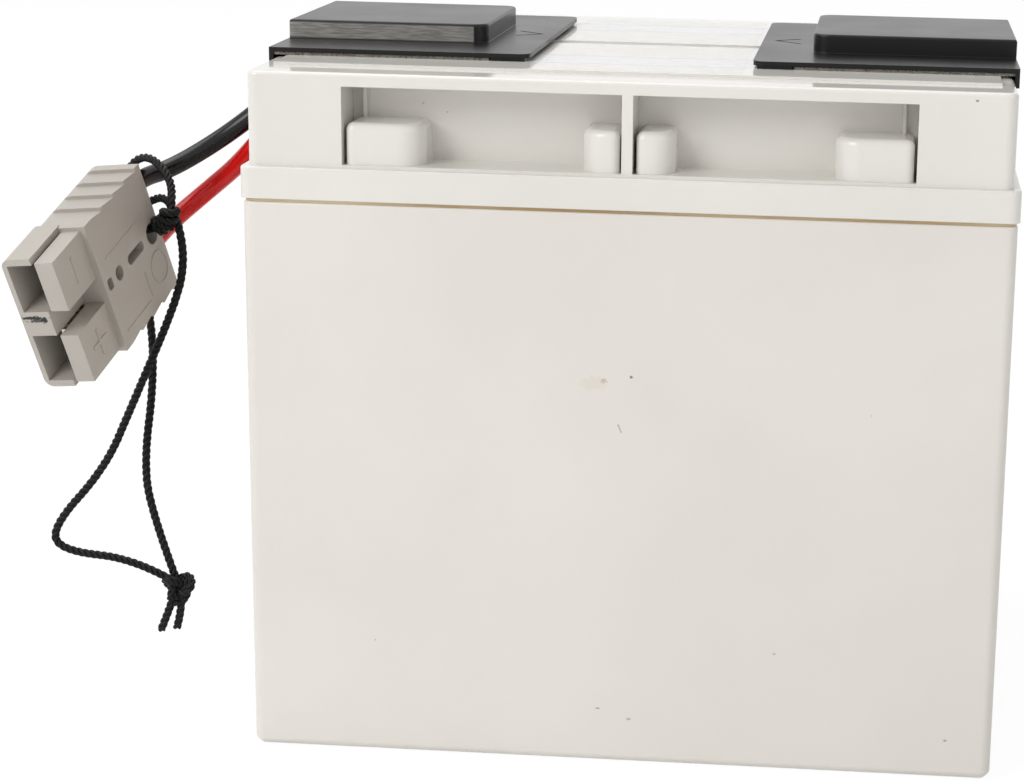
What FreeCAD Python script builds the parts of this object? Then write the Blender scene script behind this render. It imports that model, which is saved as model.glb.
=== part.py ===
import FreeCAD, Part
import math
import os
import re
import Sketcher
from FreeCAD import Placement, Rotation, Vector

# A pair of sealed 12 V batteries joined side by side, with moulded terminal covers, a
# two-pole connector on two leads and a pull cord. Millimetres; X along the long side,
# Y away from the front, Z up, with the origin under the middle of the pair.

SIZES = {
    # containers and the glued seam
    "rim_length": 181.0,
    "rim_depth": 76.0,
    "battery_gap": 0.8,
    "corner_radius": 2.6,
    "container_inset": 0.5,
    "container_height": 135.4,
    "wall": 2.6,
    "floor_thickness": 3.0,
    "partition": 1.6,
    "foot_chamfer": 1.6,
    "seam_height": 0.8,
    "seam_inset": 0.9,
    "seam_width": 1.5,
    # lids
    "rim_height": 7.5,
    "rim_crown": 0.7,
    "upper_height": 22.0,
    "lid_inset": 1.7,
    "crown_radius": 1.1,
    "plateau_step": 0.6,
    "plateau_margin": 15.3,
    "plateau_end": 5.0,
    "lid_wall": 2.5,
    "socket_depth": 5.0,
    "pocket_length": 132.8,
    "pocket_height": 18.2,
    "pocket_sill": 0.7,
    "pocket_rib": 2.6,
    "pad_length": 18.2,
    "pad_gap": 0.6,
    "pad_middle": 10.8,
    "pad_height": 9.8,
    "pad_setback": 0.7,
    "pad_corner": 5.8,
    "pad_edge": 2.0,
    "pad_crown": 1.8,
    "pad_root": 2.2,
    "edge_rib": 0.9,
    "edge_rib_depth": 2.0,
    "edge_rib_drop": 8.4,
    "edge_rib_inset": 3.6,
    "trough_length": 30.5,
    "trough_depth": 27.0,
    "trough_floor": 3.1,
    # valves and the strip over them
    "well_radius": 6.2,
    "well_wall": 1.8,
    "well_depth": 13.0,
    "neck_radius": 3.8,
    "neck_height": 7.5,
    "neck_bore": 2.0,
    "cap_wall": 1.5,
    "cap_height": 8.0,
    "strip_length": 160.0,
    "strip_width": 16.0,
    "strip_thickness": 1.6,
    "strip_corner": 1.5,
    "strip_clearance": 0.2,
    # plates
    "plate_clearance": 0.3,
    "plate_headroom": 20.4,
    "strap_height": 6.0,
    "strap_width": 8.0,
    "strap_side": 6.0,
    "strap_end": 2.0,
    # terminals
    "terminal_end": 20.5,
    "terminal_across": 16.5,
    "post_radius": 4.9,
    "terminal_side": 12.0,
    "terminal_height": 7.2,
    "thread_radius": 2.1,
    "thread_depth": 7.5,
    "screw_play": 0.05,
    "screw_short": 0.5,
    "lug_thickness": 1.0,
    "lug_radius": 5.5,
    "lug_hole": 2.7,
    "lug_neck": 14.5,
    "barrel_radius": 2.3,
    "barrel_gap": 2.0,
    "washer_radius": 4.6,
    "washer_thickness": 0.8,
    "screw_head": 3.6,
    "screw_across": 8.0,
    "black_lug_turn": 165.0,
    "red_lug_turn": 127.0,
    "link_width": 13.0,
    "link_corner": 3.8,
    # covers
    "cover_inner": 26.8,
    "cover_depth": 94.0,
    "cover_wall": 1.1,
    "cover_corner": 3.0,
    "cover_gap": 0.7,
    "skirt_play": 0.15,
    "skirt_drop": 4.6,
    "box_inner": 40.4,
    "box_depth": 51.2,
    "box_height": 4.6,
    "box_corner": 3.8,
    "box_crown": 0.6,
    "heel_length": 9.4,
    "heel_depth": 12.0,
    "heel_inset": 0.3,
    "arrow_tip": 30.2,
    "arrow_arm": 8.4,
    "arrow_line": 0.8,
    "arrow_cut": 0.3,
    "arrow_turn": 42.0,
    # what holds the two batteries together
    "foam_length": 140.0,
    "foam_bottom": 18.0,
    "foam_top": 118.0,
    "film_length": 50.0,
    "film_depth": 119.0,
    "film_thickness": 0.15,
    # connector, in its own frame: x to the mating end, y across the poles, z to the near face
    "connector_x": -139.9,
    "connector_y": 0.0,
    "connector_z": 114.1,
    "connector_yaw": -99.4,
    "connector_pitch": 20.4,
    "connector_roll": -83.3,
    "housing_width": 36.8,
    "housing_thickness": 15.9,
    "grip_length": 33.0,
    "housing_length": 48.8,
    "back_radius": 4.2,
    "shroud_radius": 2.4,
    "shroud_proud": 0.3,
    "tooth_count": 4,
    "tooth_start": 2.6,
    "tooth_pitch": 6.8,
    "tooth_cut": 0.9,
    "tooth_root": 0.4,
    "tooth_land": 0.6,
    "pole_offset": 9.2,
    "pole_bore": 3.8,
    "tongue_inner": 3.6,
    "tongue_outer": 17.4,
    "tongue_low": 1.3,
    "tongue_high": 6.4,
    "shroud_top": 0.4,
    "shroud_wall": 1.4,
    "shroud_side": 1.8,
    "web_half": 3.5,
    "channel_width": 9.6,
    "channel_start": 18.0,
    "cord_hole": 2.9,
    "cord_hole_at": 4.5,
    "fixing_hole": 2.0,
    "fixing_hole_at": 24.7,
    "slot_start": 9.9,
    "slot_end": 19.3,
    "slot_width": 2.9,
    "key_start": 28.8,
    "key_end": 31.4,
    "key_width": 3.2,
    "key_corner": 0.8,
    "mark_height": 0.25,
    "mark_line": 0.8,
    "mark_length": 7.4,
    "mark_at": 40.8,
    "outline_height": 0.2,
    "outline_line": 0.45,
    "ring_radius": 4.5,
    "ring_along": 6.0,
    "contact_start": 2.0,
    "contact_barrel": 3.6,
    "blade_width": 9.0,
    "blade_thickness": 2.5,
    "blade_end": 44.0,
    "spring_width": 6.0,
    "spring_thickness": 0.4,
    "spring_end": 40.0,
    # leads and cord
    "lead_radius": 2.55,
    "black_run": 12.0,
    "red_run": 14.5,
    "black_straight": 9.0,
    "red_straight": 16.0,
    "cord_radius": 1.0,
    "cord_play": 0.05,
    "knot_radius": 3.9,
}

# Sizes that the sheet works out from the ones above.
DERIVED = {
    "terminal_along": "rim_length / 2 - terminal_end",
    "terminal_top": "container_height + seam_height + rim_height + trough_floor + terminal_height",
    "plate_height": "container_height - floor_thickness - plate_headroom",
}

# Heights and places that follow from the sizes above, as expressions.
RIM_BOTTOM = "(container_height + seam_height)"
RIM_TOP = f"({RIM_BOTTOM} + rim_height)"
LID_TOP = f"({RIM_TOP} + upper_height)"
DECK = f"({LID_TOP} + plateau_step)"
HALF_LENGTH = "(rim_length / 2)"
HALF_DEPTH = "(rim_depth / 2)"
UPPER_END = f"({HALF_LENGTH} - lid_inset)"
UPPER_SIDE = f"({HALF_DEPTH} - lid_inset)"
BATTERY_CENTRE = f"({HALF_DEPTH} + battery_gap / 2)"
CONTAINER_LENGTH = "(rim_length - 2 * container_inset)"
CONTAINER_DEPTH = "(rim_depth - 2 * container_inset)"
CELL_LENGTH = f"(({CONTAINER_LENGTH} - 2 * wall - 5 * partition) / 6)"
CELL_PITCH = f"({CELL_LENGTH} + partition)"
CELL_DEPTH = f"({CONTAINER_DEPTH} - 2 * wall)"
POCKET_BACK = f"(plateau_margin - {HALF_DEPTH})"
POCKET_FLOOR = f"({RIM_TOP} + pocket_sill)"
POCKET_TOP = f"({POCKET_FLOOR} + pocket_height)"
TROUGH_INNER = f"({HALF_LENGTH} - trough_length)"
TROUGH_SIDE = f"({BATTERY_CENTRE} - trough_depth)"
TROUGH_FLOOR = f"({RIM_TOP} + trough_floor)"
STRIP_SEAT = f"({DECK} - strip_thickness)"
WELL_FLOOR = f"({STRIP_SEAT} - well_depth)"
TERMINAL_SIDE = f"({BATTERY_CENTRE} - terminal_across)"
LUG_TOP = "(terminal_top + lug_thickness)"
WASHER_TOP = f"({LUG_TOP} + washer_thickness)"
SKIRT_INNER = f"({UPPER_END} + skirt_play)"
COVER_OUTER = f"({SKIRT_INNER} + cover_wall)"
COVER_UNDER = f"({DECK} + cover_gap)"
COVER_TOP = f"({COVER_UNDER} + cover_wall)"
BOX_TOP = f"({COVER_TOP} + box_height)"
HALF_WIDTH = "(housing_width / 2)"
HALF_THICK = "(housing_thickness / 2)"

CELLS = 6
ENDS = (-1, 1)
PAST = 1  # how far a cutting shape runs past what it cuts, and one block into the next
OVERLAP = 0.5  # how far a small joined shape runs into its neighbour
NODES = []

doc = FreeCAD.newDocument("Cartridge")
sheet = doc.addObject("Spreadsheet::Sheet", "Sizes")


def fill_sheet():
    """Write the driving sizes to the sheet as plain numbers, and the derived ones as formulas."""
    rows = [(alias, str(value)) for alias, value in SIZES.items()]
    rows += [(alias, f"={text}") for alias, text in DERIVED.items()]
    for row, (alias, text) in enumerate(rows, start=1):
        sheet.set(f"A{row}", alias.replace("_", " "))
        sheet.set(f"B{row}", text)
        sheet.setAlias(f"B{row}", alias)
    doc.recompute()


def bound(text):
    """Return an expression with every size name pointed at the sheet."""
    known = SIZES.keys() | DERIVED.keys()
    return re.sub(r"[a-z_]+", lambda m: f"Sizes.{m[0]}" if m[0] in known else m[0], str(text))


def size(name):
    """Return one size as a number, for shapes that are not bound."""
    return float(sheet.get(name))


def bind(item, **properties):
    """Bind properties of an object to expressions; a double underscore stands for a dot."""
    for name, text in properties.items():
        item.setExpression(name.replace("__", "."), bound(text))
    return item


def place(item, x="0", y="0", z="0"):
    """Bind the origin of an object."""
    return bind(item, Placement__Base__x=x, Placement__Base__y=y, Placement__Base__z=z)


def block(name, x, y, z):
    """Make a box between pairs of expressions along each axis."""
    item = doc.addObject("Part::Box", name)
    bind(item, Length=f"{x[1]} - ({x[0]})", Width=f"{y[1]} - ({y[0]})", Height=f"{z[1]} - ({z[0]})")
    return place(item, x[0], y[0], z[0])


def rod(name, radius, x, y, z):
    """Make an upright cylinder between two heights."""
    item = doc.addObject("Part::Cylinder", name)
    bind(item, Radius=radius, Height=f"{z[1]} - ({z[0]})")
    return place(item, x, y, z[0])


def rod_along(name, radius, x, y, z="0"):
    """Make a cylinder that runs along X between two places."""
    item = doc.addObject("Part::Cylinder", name)
    item.Placement = Placement(Vector(), Rotation(Vector(0, 1, 0), 90))
    bind(item, Radius=radius, Height=f"{x[1]} - ({x[0]})")
    return place(item, x[0], y, z)


def fuse(name, items):
    """Join objects into one."""
    item = doc.addObject("Part::MultiFuse", name)
    item.Shapes = items
    return item


def cut(name, base, tools):
    """Take tools away from a base."""
    item = doc.addObject("Part::Cut", name)
    item.Base = base
    item.Tool = tools[0] if len(tools) == 1 else fuse(f"{name}_tools", tools)
    return item


def group(name, items):
    """Keep equal pieces together as separate solids."""
    item = doc.addObject("Part::Compound", name)
    item.Links = items
    return item


def node(item, label, placement=None):
    """Register a finished piece under its own label."""
    item.Label = label
    if placement:
        item.Placement = placement
    NODES.append(item)
    return item


def origin_plane(body, role):
    """Find one of a body's own origin planes."""
    return next(part for part in body.Origin.OriginFeatures if part.Role == role)


def rectangle(body, name, length, depth, height, centre=("0", "0")):
    """Draw a constrained rectangle on the body's ground plane at a height."""
    sketch = body.newObject("Sketcher::SketchObject", name)
    sketch.AttachmentSupport = [(origin_plane(body, "XY_Plane"), "")]
    sketch.MapMode = "FlatFace"
    corners = [Vector(-5, -5), Vector(5, -5), Vector(5, 5), Vector(-5, 5)]
    for start, end in zip(corners, corners[1:] + corners[:1]):
        sketch.addGeometry(Part.LineSegment(start, end))
    for line in range(4):
        sketch.addConstraint(Sketcher.Constraint("Coincident", line, 2, (line + 1) % 4, 1))
    sketch.addConstraint([Sketcher.Constraint("Horizontal", 0), Sketcher.Constraint("Horizontal", 2)])
    sketch.addConstraint([Sketcher.Constraint("Vertical", 1), Sketcher.Constraint("Vertical", 3)])
    sketch.addConstraint(Sketcher.Constraint("Symmetric", 0, 1, 2, 1, -1, 1))
    for title, axis, text in (("long", "DistanceX", length), ("deep", "DistanceY", depth)):
        line = 0 if axis == "DistanceX" else 1
        index = sketch.addConstraint(Sketcher.Constraint(axis, line, 1, line, 2, 10))
        sketch.renameConstraint(index, title)
        sketch.setExpression(f"Constraints.{title}", bound(text))
    bind(sketch, AttachmentOffset__Base__x=centre[0], AttachmentOffset__Base__y=centre[1])
    bind(sketch, AttachmentOffset__Base__z=height)
    return sketch


def edges_where(shape, test):
    """Name the edges of a shape whose two ends pass a test."""
    found = []
    for index, edge in enumerate(shape.Edges, start=1):
        if len(edge.Vertexes) == 2 and test(edge.Vertexes[0].Point, edge.Vertexes[1].Point):
            found.append(f"Edge{index}")
    return found


def dress(body, kind, test, amount):
    """Round or chamfer the edges of a body's tip that pass a test."""
    doc.recompute()
    base = body.Tip
    item = body.newObject(f"PartDesign::{kind}", f"{body.Name}_{kind.lower()}")
    item.Base = (base, edges_where(base.Shape, test))
    bind(item, **{"Radius" if kind == "Fillet" else "Size": amount})
    body.Tip = item


def upright(a, b):
    """Tell whether an edge is vertical."""
    return abs(a.x - b.x) < 1e-4 and abs(a.y - b.y) < 1e-4


def at_height(shape_top):
    """Make a test for edges that lie at the top or bottom of a body."""
    def test(a, b):
        return abs(a.z - shape_top) < 1e-4 and abs(b.z - shape_top) < 1e-4
    return test


def slab(name, x, y, z, corner=None, crown=None, rounded=upright):
    """Pad a rectangle into a plate, with rounded corners and a rounded top if asked."""
    body = doc.addObject("PartDesign::Body", name)
    centre = (f"({x[0]} + {x[1]}) / 2", f"({y[0]} + {y[1]}) / 2")
    sketch = rectangle(body, f"{name}_outline", f"{x[1]} - ({x[0]})", f"{y[1]} - ({y[0]})", z[0], centre)
    pad = body.newObject("PartDesign::Pad", f"{name}_pad")
    pad.Profile = sketch
    bind(pad, Length=f"{z[1]} - ({z[0]})")
    body.Tip = pad
    if corner:
        dress(body, "Fillet", rounded, corner)
    if crown:
        doc.recompute()
        dress(body, "Fillet", at_height(body.Shape.BoundBox.ZMax), crown)
    return body


def upright_inside(a, b):
    """Tell whether an edge of a cover is vertical and on its side nearer the middle."""
    return upright(a, b) and a.x < size("box_inner") + size("box_corner")


def both_ways(half):
    """Return a pair of expressions the same distance each side of the middle."""
    return (f"-({half})", f"({half})")


def span(sign, near, far):
    """Return a pair of expressions on one side of the middle, smaller first."""
    return (near, far) if sign > 0 else (f"-({far})", f"-({near})")


def battery_place(side):
    """Give the place of the front or rear battery; the rear one faces backwards."""
    offset = size("rim_depth") / 2 + size("battery_gap") / 2
    if side == "front":
        return Placement(Vector(0, -offset, 0), Rotation())
    return Placement(Vector(0, offset, 0), Rotation(Vector(0, 0, 1), 180))


def make_container(side):
    """Mould a box with six cells open at the top."""
    body = slab(f"{side}_case", both_ways(f"{CONTAINER_LENGTH} / 2"), both_ways(f"{CONTAINER_DEPTH} / 2"),
                ("0", "container_height"), "corner_radius")
    doc.recompute()
    dress(body, "Chamfer", at_height(0.0), "foot_chamfer")
    first = f"-2.5 * {CELL_PITCH}"
    sketch = rectangle(body, f"{side}_cell", CELL_LENGTH, CELL_DEPTH, "container_height", (first, "0"))
    pocket = body.newObject("PartDesign::Pocket", f"{side}_cells")
    pocket.Profile = sketch
    bind(pocket, Length="container_height - floor_thickness")
    body.Tip = pocket
    doc.recompute()
    row = body.newObject("PartDesign::LinearPattern", f"{side}_row")
    row.Originals = [pocket]
    row.Direction = (sketch, ["H_Axis"])
    row.Occurrences = CELLS
    bind(row, Length=f"5 * {CELL_PITCH}")
    body.Tip = row
    node(body, f"{side}_container", battery_place(side))


def make_seam(side):
    """Lay the bead of glue between the container and the lid."""
    heights = ("container_height", RIM_BOTTOM)
    outer = slab(f"{side}_bead", both_ways(f"{HALF_LENGTH} - seam_inset"),
                 both_ways(f"{HALF_DEPTH} - seam_inset"), heights, "corner_radius")
    inset = "(seam_inset + seam_width)"
    inner = block(f"{side}_bead_hole", both_ways(f"{HALF_LENGTH} - {inset}"),
                  both_ways(f"{HALF_DEPTH} - {inset}"), heights)
    node(cut(f"{side}_seam", outer, [inner]), f"{side}_lid_seam", battery_place(side))


def lid_hollows(side):
    """List the hollows under a lid and in its outside, but for the valve wells."""
    inner_x = f"{UPPER_END} - lid_wall"
    front_y = f"-({UPPER_SIDE} - lid_wall)"
    back = f"{POCKET_BACK} + lid_wall"
    trough_wall = f"{TROUGH_SIDE} - lid_wall"
    roof = f"{STRIP_SEAT} - lid_wall"
    under = f"{RIM_BOTTOM} - {PAST}"
    hollows = [
        block(f"{side}_socket", both_ways(f"{CONTAINER_LENGTH} / 2 - wall"), both_ways(f"{CELL_DEPTH} / 2"),
              (under, f"{RIM_BOTTOM} + socket_depth")),
        block(f"{side}_chamber", both_ways(inner_x), (back, trough_wall), (under, roof)),
        block(f"{side}_middle", both_ways(f"{TROUGH_INNER} - lid_wall"), (back, f"{UPPER_SIDE} - lid_wall"),
              (under, roof)),
        block(f"{side}_pocket", both_ways("pocket_length / 2"), (f"-{HALF_DEPTH} - {PAST}", POCKET_BACK),
              (POCKET_FLOOR, POCKET_TOP)),
    ]
    for sign in ENDS:
        end = "left" if sign < 0 else "right"
        hollows.append(block(f"{side}_{end}_corner", span(sign, "pocket_length / 2 + lid_wall", inner_x),
                             (front_y, f"{back} + {PAST}"), (under, roof)))
        hollows.append(block(f"{side}_{end}_trough", span(sign, TROUGH_INNER, f"{HALF_LENGTH} + {PAST}"),
                             (TROUGH_SIDE, f"{HALF_DEPTH} + {PAST}"), (TROUGH_FLOOR, f"{DECK} + {PAST}")))
    return hollows


def front_corner(shape, hand):
    """Make a test for a shape's upright front edges on its left (-1) or right (1)."""
    middle = shape.BoundBox.Center

    def test(a, b):
        return upright(a, b) and a.y < middle.y and (a.x - middle.x) * hand > 0
    return test


def finger_pad(name, x, free):
    """Raise one pad in the pocket, rounded widely at the front corner on its free side."""
    y = (f"-{UPPER_SIDE} + pad_setback", f"{POCKET_BACK} + pad_root")
    body = slab(name, x, y, (f"{POCKET_FLOOR} - {OVERLAP}", f"{POCKET_FLOOR} + pad_height"))
    for hand, radius in ((-free, "pad_edge"), (free, "pad_corner")):
        doc.recompute()
        dress(body, "Fillet", front_corner(body.Shape, hand), radius)
    doc.recompute()
    dress(body, "Fillet", at_height(body.Shape.BoundBox.ZMax), "pad_crown")
    return body


def lid_fillings(side):
    """List what stands in the pocket: the middle rib, four finger pads and two thin ribs."""
    front = f"-{UPPER_SIDE}"
    end = "(pocket_length / 2)"
    items = [block(f"{side}_rib", both_ways("pocket_rib / 2"), (front, f"{POCKET_BACK} + {OVERLAP}"),
                   (f"{POCKET_FLOOR} - {OVERLAP}", f"{POCKET_TOP} + {OVERLAP}"))]
    for sign in ENDS:
        inner = span(sign, "pocket_rib / 2 + pad_gap", "pad_middle")
        outer = span(sign, f"{end} - pad_gap - pad_length", f"{end} - pad_gap")
        items.append(finger_pad(f"{side}_inner_pad_{sign + 1}", inner, sign))
        items.append(finger_pad(f"{side}_outer_pad_{sign + 1}", outer, -sign))
        near = f"{end} - edge_rib_inset"
        items.append(block(f"{side}_edge_rib_{sign + 1}", span(sign, near, f"{near} + edge_rib"),
                           (f"{POCKET_BACK} - edge_rib_depth", f"{POCKET_BACK} + {OVERLAP}"),
                           (f"{POCKET_TOP} - edge_rib_drop", f"{POCKET_TOP} + {OVERLAP}")))
    return items


def cell_place(cell):
    """Give the place of a cell's middle along the battery."""
    return f"{cell - (CELLS - 1) / 2} * {CELL_PITCH}"


def make_lid(side):
    """Mould a lid: rim, upper body, raised deck, finger pocket, terminal troughs and valve wells."""
    corner = "corner_radius"
    rim = slab(f"{side}_rim", both_ways(HALF_LENGTH), both_ways(HALF_DEPTH), (RIM_BOTTOM, RIM_TOP), corner,
               "rim_crown")
    upper = slab(f"{side}_upper", both_ways(UPPER_END), both_ways(UPPER_SIDE),
                 (f"{RIM_TOP} - {PAST}", LID_TOP), corner, "crown_radius")
    deck = block(f"{side}_deck", both_ways(f"{HALF_LENGTH} - plateau_end"),
                 (POCKET_BACK, f"{UPPER_SIDE} - crown_radius"), (f"{LID_TOP} - {PAST}", DECK))
    hollow = cut(f"{side}_hollow", fuse(f"{side}_blank", [rim, upper, deck]), lid_hollows(side))
    roof = f"{STRIP_SEAT} - lid_wall"
    wells = [rod(f"{side}_well_{i}", "well_radius + well_wall", cell_place(i), "0",
                 (f"{WELL_FLOOR} - well_wall", f"{roof} + {OVERLAP}")) for i in range(CELLS)]
    filled = fuse(f"{side}_filled", [hollow] + lid_fillings(side) + wells)
    tools = [rod(f"{side}_bore_{i}", "well_radius", cell_place(i), "0", (WELL_FLOOR, f"{DECK} + {PAST}"))
             for i in range(CELLS)]
    half_strip = "(strip_length / 2 + strip_clearance)"
    side_strip = "(strip_width / 2 + strip_clearance)"
    tools.append(block(f"{side}_strip_seat", both_ways(half_strip), both_ways(side_strip),
                       (STRIP_SEAT, f"{DECK} + {PAST}")))
    for sign in ENDS:
        tools.append(rod(f"{side}_post_hole_{sign + 1}", "post_radius", f"{sign} * terminal_along",
                         TERMINAL_SIDE, (f"{RIM_BOTTOM} - {PAST}", f"{TROUGH_FLOOR} + {PAST}")))
    bored = cut(f"{side}_bored", filled, tools)
    necks = [rod(f"{side}_neck_{i}", "neck_radius", cell_place(i), "0",
                 (f"{WELL_FLOOR} - {OVERLAP}", f"{WELL_FLOOR} + neck_height")) for i in range(CELLS)]
    vent_z = (f"{WELL_FLOOR} - well_wall - {PAST}", f"{WELL_FLOOR} + neck_height + {PAST}")
    vents = [rod(f"{side}_vent_{i}", "neck_bore", cell_place(i), "0", vent_z) for i in range(CELLS)]
    lid = cut(f"{side}_top", fuse(f"{side}_necked", [bored] + necks), vents)
    node(lid, f"{side}_lid", battery_place(side))


def make_valves(side):
    """Set a rubber cap on each neck and close the wells with the vent strip."""
    caps = []
    cap_top = f"{WELL_FLOOR} + cap_height"
    for i in range(CELLS):
        shell = rod(f"{side}_cap_{i}", "neck_radius + cap_wall", cell_place(i), "0", (WELL_FLOOR, cap_top))
        core = rod(f"{side}_cap_core_{i}", "neck_radius", cell_place(i), "0",
                   (f"{WELL_FLOOR} - {PAST}", f"{WELL_FLOOR} + neck_height"))
        caps.append(cut(f"{side}_cap_cup_{i}", shell, [core]))
    node(group(f"{side}_caps", caps), f"{side}_valve_caps", battery_place(side))
    strip = slab(f"{side}_strip", both_ways("strip_length / 2"), both_ways("strip_width / 2"),
                 (STRIP_SEAT, DECK), "strip_corner")
    node(strip, f"{side}_vent_strip", battery_place(side))


def make_plates(side):
    """Stack the plates of the six cells, each with two cast straps on top."""
    packs = []
    half_x = f"({CELL_LENGTH} / 2 - plate_clearance)"
    half_y = f"({CELL_DEPTH} / 2 - plate_clearance)"
    plate_top = "floor_thickness + plate_height"
    for i in range(CELLS):
        middle = cell_place(i)
        stack = block(f"{side}_stack_{i}", (f"{middle} - {half_x}", f"{middle} + {half_x}"),
                      both_ways(half_y), ("floor_thickness", plate_top))
        strap_x = (f"{middle} - {half_x} + strap_end", f"{middle} + {half_x} - strap_end")
        strap_z = (plate_top, f"{plate_top} + strap_height")
        straps = [block(f"{side}_strap_{i}_{sign + 1}", strap_x,
                        span(sign, f"{half_y} - strap_side - strap_width", f"{half_y} - strap_side"), strap_z)
                  for sign in ENDS]
        packs.append(fuse(f"{side}_pack_{i}", [stack] + straps))
    node(group(f"{side}_packs", packs), f"{side}_plate_packs", battery_place(side))


def make_terminals(side):
    """Cast two terminals into the lid, each a post, a square block and a threaded hole."""
    terminals = []
    for sign in ENDS:
        x = f"{sign} * terminal_along"
        name = f"{side}_terminal_{sign + 1}"
        half = "terminal_side / 2"
        post = rod(f"{name}_post", "post_radius", x, TERMINAL_SIDE,
                   (RIM_BOTTOM, f"{TROUGH_FLOOR} + {PAST}"))
        head = block(f"{name}_head", (f"{x} - {half}", f"{x} + {half}"),
                     (f"{TERMINAL_SIDE} - {half}", f"{TERMINAL_SIDE} + {half}"),
                     (TROUGH_FLOOR, "terminal_top"))
        hole = rod(f"{name}_hole", "thread_radius", x, TERMINAL_SIDE,
                   ("terminal_top - thread_depth", f"terminal_top + {PAST}"))
        terminals.append(cut(name, fuse(f"{name}_blank", [post, head]), [hole]))
    node(group(f"{side}_terminal_pair", terminals), f"{side}_terminals", battery_place(side))


def terminal_spots():
    """Yield a name and the place of each of the four terminals."""
    for x_sign in ENDS:
        for y_sign in ENDS:
            yield f"{x_sign + 1}{y_sign + 1}", f"{x_sign} * terminal_along", f"{y_sign} * terminal_across"


def make_screws():
    """Put a washer and a hexagon screw on each terminal."""
    washers = []
    screws = []
    for name, x, y in terminal_spots():
        ring = rod(f"washer_disc_{name}", "washer_radius", x, y, (LUG_TOP, WASHER_TOP))
        eye = rod(f"washer_hole_{name}", "lug_hole", x, y, (f"{LUG_TOP} - {PAST}", f"{WASHER_TOP} + {PAST}"))
        washers.append(cut(f"washer_{name}", ring, [eye]))
        head = doc.addObject("Part::Prism", f"screw_head_{name}")
        head.Polygon = 6
        bind(head, Circumradius="screw_across / sqrt(3)", Height="screw_head")
        place(head, x, y, WASHER_TOP)
        shank = rod(f"screw_shank_{name}", "thread_radius - screw_play", x, y,
                    ("terminal_top - thread_depth + screw_short", f"{WASHER_TOP} + {PAST}"))
        screws.append(fuse(f"screw_{name}", [head, shank]))
    node(group("washers", washers), "terminal_washers")
    node(group("screws", screws), "terminal_screws")


def make_link():
    """Bolt the bar that joins the two batteries in series across the right-hand terminals."""
    half = "link_width / 2"
    end = "terminal_across + lug_radius"
    bar = slab("link", (f"terminal_along - {half}", f"terminal_along + {half}"), both_ways(end),
               ("terminal_top", LUG_TOP), "link_corner")
    holes = [rod(f"link_hole_{sign + 1}", "lug_hole", "terminal_along", f"{sign} * terminal_across",
                 (f"terminal_top - {PAST}", f"{LUG_TOP} + {PAST}")) for sign in ENDS]
    node(cut("link_bar", bar, holes), "series_link_bar")


def make_lug(name, sign, turn):
    """Form a ring lug on a left-hand terminal; its barrel points where the lead leaves."""
    ring = rod(f"{name}_ring", "lug_radius", "0", "0", ("0", "lug_thickness"))
    tail = block(f"{name}_tail", ("0", "lug_neck"), both_ways("barrel_radius"), ("0", "lug_thickness"))
    barrel = rod_along(f"{name}_barrel", "barrel_radius", ("washer_radius + barrel_gap", "lug_neck"), "0",
                       "barrel_radius")
    hole = rod(f"{name}_eye", "lug_hole", "0", "0", (f"-{PAST}", f"lug_thickness + {PAST}"))
    lug = cut(name, fuse(f"{name}_blank", [ring, tail, barrel]), [hole])
    spot = Vector(-size("terminal_along"), sign * size("terminal_across"), size("terminal_top"))
    lug.Placement = Placement(spot, Rotation(Vector(0, 0, 1), size(turn)))
    return lug


def make_cover(end, sign):
    """Mould a terminal cover: flange, raised box, end skirt, two heels and a cut arrow."""
    half = "cover_depth / 2"
    box_half = "box_depth / 2"
    flange = slab(f"{end}_flange", ("cover_inner", COVER_OUTER), both_ways(half), (COVER_UNDER, COVER_TOP),
                  "cover_corner", rounded=upright_inside)
    box = slab(f"{end}_box", ("box_inner", COVER_OUTER), both_ways(box_half), (COVER_UNDER, BOX_TOP),
               "box_corner", "box_crown", rounded=upright_inside)
    skirt = block(f"{end}_skirt", (SKIRT_INNER, COVER_OUTER), both_ways(half),
                  (f"{COVER_TOP} - skirt_drop", COVER_TOP))
    heel_x = ("cover_inner + cover_wall", "cover_inner + heel_length")
    heel_z = (DECK, f"{COVER_UNDER} + {OVERLAP}")
    heels = [block(f"{end}_heel_{side + 1}", heel_x,
                   span(side, f"{half} - heel_depth", f"{half} - heel_inset"), heel_z) for side in ENDS]
    inside = block(f"{end}_inside", ("box_inner + cover_wall", SKIRT_INNER),
                   both_ways(f"{box_half} - cover_wall"), (f"{COVER_UNDER} - {PAST}", f"{BOX_TOP} - cover_wall"))
    arms = [arrow_arm(f"{end}_arm_{side + 1}", side) for side in ENDS]
    cover = cut(f"{end}_shell", fuse(f"{end}_blank", [flange, box, skirt] + heels), [inside] + arms)
    turn = 0 if sign > 0 else 180
    node(cover, f"{end}_cover", Placement(Vector(), Rotation(Vector(0, 0, 1), turn)))


def arrow_arm(name, side):
    """Make one arm of the arrow that points to the middle of the pair."""
    arm = doc.addObject("Part::Box", name)
    arm.Placement = Placement(Vector(), Rotation(Vector(0, 0, 1), side * size("arrow_turn")))
    bind(arm, Length="arrow_arm", Width="arrow_line", Height=f"arrow_cut + {PAST}")
    return place(arm, "arrow_tip", "-arrow_line / 2", f"{COVER_TOP} - arrow_cut")


def make_binding():
    """Stick the foam between the containers and the clear film over both lids."""
    gap = "(battery_gap / 2 + container_inset)"
    foam = block("foam", both_ways("foam_length / 2"), both_ways(gap), ("foam_bottom", "foam_top"))
    node(foam, "joining_foam")
    film = block("film", both_ways("film_length / 2"), both_ways("film_depth / 2"),
                 (DECK, f"{DECK} + film_thickness"))
    node(film, "clear_film")


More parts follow.
